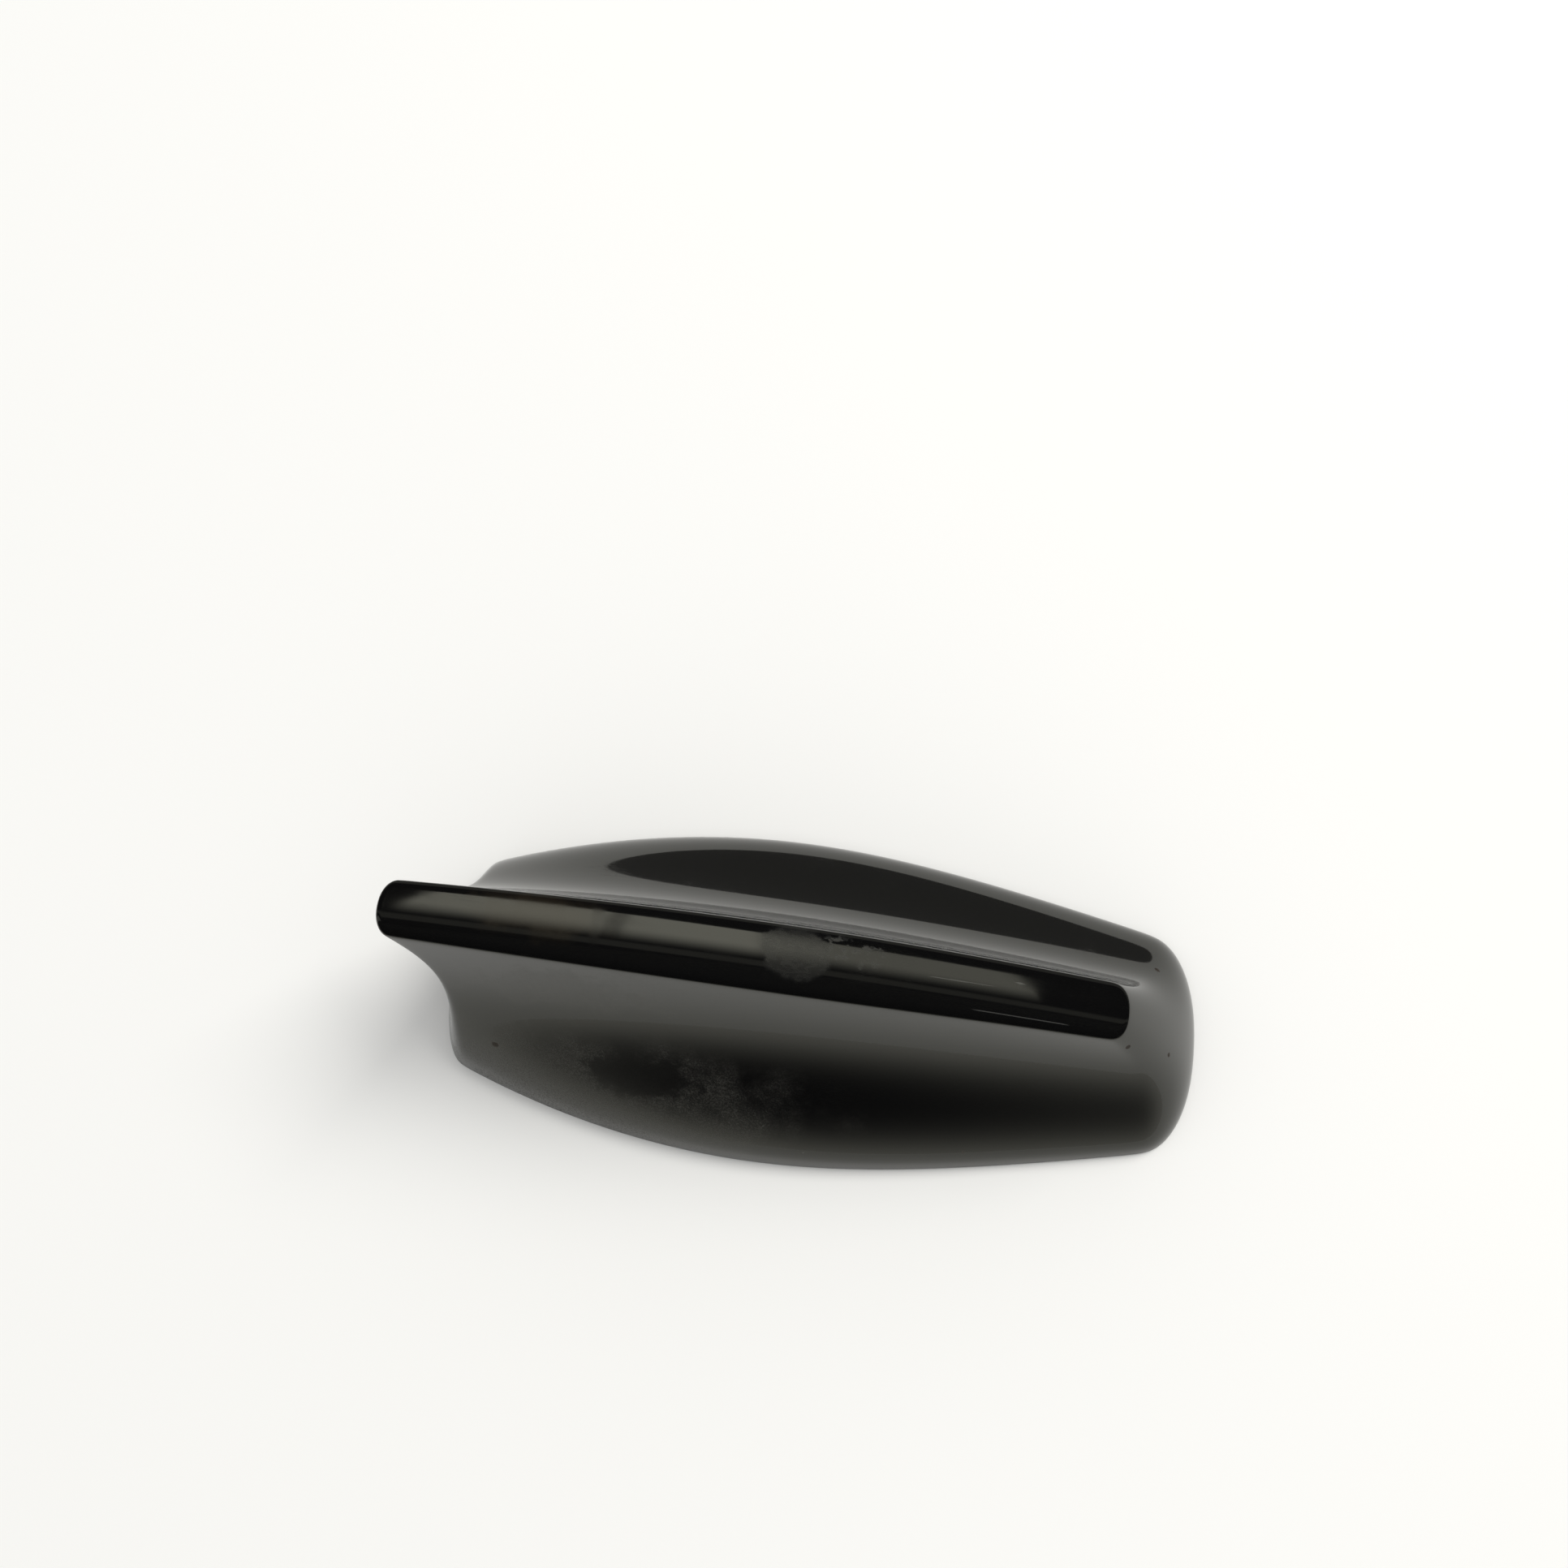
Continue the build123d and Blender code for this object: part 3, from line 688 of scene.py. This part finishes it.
chip_places = (
    ((0.0345, -0.0273, 0.0062), 0.0006), ((0.0731, -0.0045, 0.0145), 0.0005),
    ((0.0626, -0.0059, 0.026), 0.0006), ((0.0705, 0.0132, 0.0111), 0.0006),
    ((-0.062, -0.0189, 0.0143), 0.0007), ((0.0735, -0.0015, 0.0155), 0.0004),
)
chips = most(tree, *[
    (spot_mask(tree, place, spot, (size, size, size), soft=0.3, ragged=0.3, scale=1500.0), 1.0)
    for spot, size in chip_places
])
streaks = spot_mask(
    tree, place, (-0.049, -0.0088, 0.034), (0.018, 0.004, 0.007), soft=0.5, ragged=0.8, scale=160.0)
# A pale, rougher band low on the left rim towards the tail: painted reflection of the floor.
left_side = ramp(tree, axes.outputs["Y"], 0.012, 0.018)
painted_rim_reflection = sums(tree, "MULTIPLY", left_side, ramp(tree, axes.outputs["Z"], 0.012, 0.004))
painted_rim_reflection = sums(tree, "MULTIPLY", painted_rim_reflection, ramp(tree, axes.outputs["X"], 0.015, -0.03))
painted_rim_reflection = sums(tree, "MULTIPLY", painted_rim_reflection, ramp(tree, grain(tree, place, 900.0, 6.0, 0.75), 0.4, 0.85))


def scratch(tree, place, start, end, width):
    """One thin straight scratch between two places on the fin, seen from above."""
    middle = ((start[0] + end[0]) / 2, (start[1] + end[1]) / 2, 0)
    heading = Vector((end[0] - start[0], end[1] - start[1]))
    turn = Vector((1, 0)).angle_signed(heading)
    scales = (2 / heading.length, 1 / width, 0)
    local = stretched(tree, place, middle=middle, turn=(0, 0, turn), scale=scales)
    parts = tree.nodes.new("ShaderNodeSeparateXYZ")
    tree.links.new(local, parts.inputs["Vector"])
    across = ramp(tree, sums(tree, "ABSOLUTE", parts.outputs["Y"], 0), 0.4, 1.0, 1, 0)
    inside = ramp(tree, sums(tree, "ABSOLUTE", parts.outputs["X"], 0), 0.8, 1.0, 1, 0)
    top_only = ramp(tree, axes.outputs["Z"], 0.024, 0.027)
    return sums(tree, "MULTIPLY", sums(tree, "MULTIPLY", across, inside), top_only)


marks = [
    scratch(tree, place, (0.0303, -0.0046), (0.0502, -0.0041), 0.00012),
    scratch(tree, place, (0.0220, 0.0016), (0.0300, -0.0005), 0.00010),
    scratch(tree, place, (0.0250, 0.0022), (0.0345, -0.0010), 0.00008),
    scratch(tree, place, (0.0390, 0.0028), (0.0402, 0.0012), 0.00018),
]
hairlines = []
for turn, scale in ((0.15, 260.0), (-0.4, 300.0), (1.0, 240.0)):
    lines = grain(tree, stretched(tree, place, turn=(0, 0, turn), scale=(0.06, 1, 1)), scale * 8, 1.0)
    off_line = sums(tree, "ABSOLUTE", sums(tree, "SUBTRACT", lines, 0.5), 0)
    hairlines.append((ramp(tree, off_line, 0.004, 0.012, 1, 0), 1.0))
hair = sums(tree, "MULTIPLY", most(tree, *hairlines), ramp(tree, grain(tree, place, 60.0, 2.0), 0.5, 0.7))
specks = tree.nodes.new("ShaderNodeTexVoronoi")
specks.inputs["Scale"].default_value = 140.0
tree.links.new(place, specks.inputs["Vector"])
speck = ramp(tree, specks.outputs["Distance"], 0.02, 0.035, 1, 0)
speck = sums(tree, "MULTIPLY", speck, ramp(tree, grain(tree, place, 150.0, 2.0), 0.55, 0.6))

pale = most(
    tree, (smear, 0.09), (scuffs, 0.2), *[(mark, 0.4) for mark in marks], (speck, 0.35), (painted_rim_reflection, 0.35))
dusty = most(tree, (dust, 0.6), (streaks, 0.22))
black = tints(tree, sums(tree, "MULTIPLY", painted_warm_reflection, 0.5), (0.0028, 0.0028, 0.003), (0.024, 0.018, 0.011))
black = tints(tree, dusty, black, (0.055, 0.053, 0.048))
black = tints(tree, pale, black, (0.11, 0.11, 0.105))
black = tints(tree, chips, black, (0.02, 0.012, 0.008))
tree.links.new(black, shader.inputs["Base Color"])
rough = most(
    tree, (smear, 0.24), (scuffs, 0.3), (painted_warm_reflection, 0.12), (crossing, 0.12), (spine_haze, 0.05),
    (flank_smudge, 0.12), (dusty, 0.9), (hair, 0.15), (painted_rim_reflection, 0.35), (chips, 0.6),
)
tree.links.new(sums(tree, "ADD", rough, 0.05), shader.inputs["Roughness"])
peel = grain(tree, place, 420.0, 2.0)
uneven = sums(tree, "ADD", sums(tree, "MULTIPLY", peel, 0.05), sums(tree, "MULTIPLY", scuffs, -0.1))
relief(tree, shader, uneven, 0.12, 0.0001)

cover_cage_piece = new_piece("cover_cage", cover_cage, gloss_black)
smoothing = cover_cage_piece.modifiers.new("smoothing", "SUBSURF")
smoothing.levels = smoothing.render_levels = 2
shell = cover_cage_piece.modifiers.new("shell", "SOLIDIFY")
shell.thickness = cover_wall / 1000
shell.offset = -1
fin_cover = made_plain(cover_cage_piece, "painted_fin_cover", gloss_black)
cover_mesh = bmesh.new()
cover_mesh.from_mesh(fin_cover.data)
for vertex in cover_mesh.verts:
    vertex.co.z = max(vertex.co.z, rim_lift / 1000)

# Six screw bosses stand down from the inside of the flanks to the plate.
skin = BVHTree.FromBMesh(cover_mesh)
boss_floor, boss_radius, pilot_radius, pilot_depth, boss_steps = 0.0046, 0.0034, 0.0012, 0.005, 32
boss_outline = ((pilot_radius, pilot_depth), (pilot_radius, 0.0), (boss_radius, 0.0), (boss_radius, None))
for x, y in cover_screw_places:
    rings = []
    for radius, depth in boss_outline:
        ring = []
        for step in range(boss_steps):
            turn = 2 * pi * step / boss_steps
            spot = Vector((x + radius * cos(turn), y + radius * sin(turn), boss_floor))
            if depth is None:
                hit = skin.ray_cast(spot, Vector((0, 0, 1)))[0]
                spot.z = max(hit.z, boss_floor + 0.0002) + 0.0006 if hit else boss_floor + 0.0002
            else:
                spot.z += depth
            ring.append(cover_mesh.verts.new(spot))
        rings.append(ring)
    for here, there in zip(rings, rings[1:]):
        for step in range(boss_steps):
            after = (step + 1) % boss_steps
            cover_mesh.faces.new((here[step], here[after], there[after], there[step]))
    cover_mesh.faces.new(rings[0])
cover_mesh.to_mesh(fin_cover.data)
cover_mesh.free()
fin_cover.data.shade_smooth()
fin_cover.data.set_sharp_from_angle(angle=radians(35))
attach(fin_cover, "root")
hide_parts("fin_cover")


# Seals: a moulded rubber ring between the cover's rim and the roof, and a smaller ring
# round the roof hole. The bolt squeezes both against the roof's paint.
seal_rubber, tree, shader, place = new_finish("moulded_rubber", 0.7, 0.0)
skin_grain = grain(tree, place, 2200.0, 4.0)
bloom = grain(tree, place, 70.0, 5.0)
rubber_black = tints(tree, skin_grain, (0.010, 0.010, 0.010), (0.02, 0.02, 0.02))
rubber_grey = tints(tree, ramp(tree, bloom, 0.5, 0.85, 0.0, 0.35), rubber_black, (0.06, 0.06, 0.057))
tree.links.new(rubber_grey, shader.inputs["Base Color"])
tree.links.new(ramp(tree, skin_grain, 0.3, 0.7, 0.6, 0.82), shader.inputs["Roughness"])
relief(tree, shader, skin_grain, 0.25, 0.00006)
dress("rim_seal", seal_rubber)
dress("hole_seal", seal_rubber)


# Stage: a plain pale floor, a large soft panel overhead on the far side, and a dim room.
# The camera looks steeply down from the right flank, as the photograph does.
floor_mesh = bmesh.new()
bmesh.ops.create_grid(floor_mesh, x_segments=1, y_segments=1, size=6.0)
floor_finish, tree, shader, place = new_finish("pale_floor", 0.9, 0.0)
shader.inputs["Specular IOR Level"].default_value = 0.0
faint = grain(tree, place, 3.0, 3.0)
tree.links.new(tints(tree, faint, (0.91, 0.91, 0.895), (0.93, 0.93, 0.915)), shader.inputs["Base Color"])
floor = new_piece("floor", floor_mesh, floor_finish)


def soft_light(name, spot, aim, size, power):
    """A square soft light that looks at a place."""
    data = bpy.data.lights.new(name, "AREA")
    data.shape = "RECTANGLE"
    data.size, data.size_y = size
    data.energy = power
    data.color = (1.0, 0.985, 0.95)
    lamp = bpy.data.objects.new(name, data)
    lamp.location = spot
    lamp.rotation_euler = (Vector(aim) - Vector(spot)).to_track_quat("-Z", "Y").to_euler()
    lamp.visible_glossy = False
    bpy.context.scene.collection.objects.link(lamp)
    return lamp


soft_light("key_light", (1.0, 1.1, 2.0), (0, 0, 0), (1.4, 1.4), 37.0)

# Cards stand round the table, as for any black gloss piece, and only reflections see them:
# dark ones in front, behind and above, and one pale panel overhead on the far side.
# Their glow is painted reflection: the front card's foot and a low card on the far side glow pale
# for the lit floor, and the panel, with its dimmer bar and end strip, for the overhead lamp.
card_finish, tree, shader, place = new_finish("studio_card", 1.0, 0.0)
shader.inputs["Base Color"].default_value = (0, 0, 0, 1)
shader.inputs["Emission Color"].default_value = (1.0, 0.985, 0.93, 1)
axes = tree.nodes.new("ShaderNodeSeparateXYZ")
tree.links.new(place, axes.inputs["Vector"])
along_x, across_y, up_z = axes.outputs["X"], axes.outputs["Y"], axes.outputs["Z"]
# The front card's foot and the low card behind the fin glow pale: painted reflection of the lit floor.
near_side = ramp(tree, across_y, -0.01, 0.0, 1, 0)
near_foot = sums(tree, "MULTIPLY", ramp(tree, up_z, 0.0, 0.034, 0.78, 0), near_side)
far_side = sums(tree, "MULTIPLY", ramp(tree, across_y, 0.03, 0.04), ramp(tree, across_y, 0.2, 0.3, 1, 0))
far_foot = sums(tree, "MULTIPLY", ramp(tree, up_z, 0.0, 0.06, 0.12, 0.22), far_side)
# The panel's glow, dimmed in a bar and brighter in an end strip, is a painted reflection of the overhead
# lamp.
panel_across = sums(
    tree, "MULTIPLY", ramp(tree, across_y, 0.25, 0.85), ramp(tree, across_y, 1.45, 1.5, 1, 0))
panel_end = ramp(tree, along_x, 1.6, 1.62, 1, 0)
end_strip = sums(tree, "MULTIPLY", ramp(tree, along_x, 1.42, 1.44, 0, 0.5), panel_end)
panel_along = most(tree, (ramp(tree, along_x, 0.36, 0.44, 1, 0.6), 1.0), (end_strip, 1.0))
panel_length = sums(tree, "MULTIPLY", ramp(tree, along_x, -0.74, -0.7), panel_end)
panel_along = sums(tree, "MULTIPLY", panel_along, panel_length)
bar = sums(tree, "ABSOLUTE", sums(tree, "ADD", along_x, 0.115), 0)
panel_along = sums(tree, "MULTIPLY", panel_along, ramp(tree, bar, 0.02, 0.05, 0.5, 1))
panel = sums(tree, "MULTIPLY", panel_across, panel_along)
panel = sums(tree, "MULTIPLY", panel, ramp(tree, up_z, 2.3, 2.35, 0, 2.3))
glow = sums(tree, "ADD", most(tree, (near_foot, 1.0), (far_foot, 1.0), (panel, 1.0)), 0.015)
tree.links.new(glow, shader.inputs["Emission Strength"])
near_y, turn_x, turn_y, far_y = -0.275, 0.2, -0.035, 4.0
room_half, room_top, low_card_top = 3.0, 2.4, 0.065


def standing(start, end, top):
    """Corners of a card that stands on the floor between two places."""
    return [(*start, 0), (*end, 0), (*end, top), (*start, top)]


ceiling = [(-room_half, near_y), (room_half, near_y), (room_half, far_y), (-room_half, far_y)]
card_mesh = bmesh.new()
for corners in (
    standing((-1.0, near_y), (turn_x, turn_y), room_top),
    standing((turn_x, turn_y), (room_half, turn_y), room_top),
    standing((-room_half, far_y), (room_half, far_y), room_top),
    standing((-room_half, near_y), (-room_half, far_y), room_top),
    standing((room_half, near_y), (room_half, far_y), room_top),
    [(x, y, room_top) for x, y in ceiling],
    standing((-0.5, 0.045), (0.8, 0.125), low_card_top),
):
    card_mesh.faces.new([card_mesh.verts.new(corner) for corner in corners])
cards = new_piece("studio_cards", card_mesh, card_finish)
cards.visible_camera = cards.visible_diffuse = cards.visible_shadow = cards.visible_transmission = False

room = bpy.data.worlds.new("pale_room")
room.use_nodes = True
backdrop = room.node_tree.nodes["Background"]
backdrop.inputs["Color"].default_value = (0.9, 0.9, 0.895, 1)
backdrop.inputs["Strength"].default_value = 0.7
bpy.context.scene.world = room

camera_data = bpy.data.cameras.new("photo_camera")
camera_data.sensor_width = 36.0
camera_data.lens = 36.06
camera_data.clip_start, camera_data.clip_end = 0.01, 50.0
camera = bpy.data.objects.new("photo_camera", camera_data)
camera_right = Vector((0.9926, 0.1213, 0.0)).normalized()
camera_back = Vector((0.0375, -0.3067, 0.9511)).normalized()
camera_up = camera_back.cross(camera_right).normalized()
turn = Matrix((camera_right, camera_up, camera_back)).transposed().to_4x4()
camera.matrix_world = Matrix.Translation((0.00172, -0.05938, 0.3322)) @ turn
bpy.context.scene.collection.objects.link(camera)
bpy.context.scene.camera = camera
bpy.context.scene.view_settings.view_transform = "Standard"
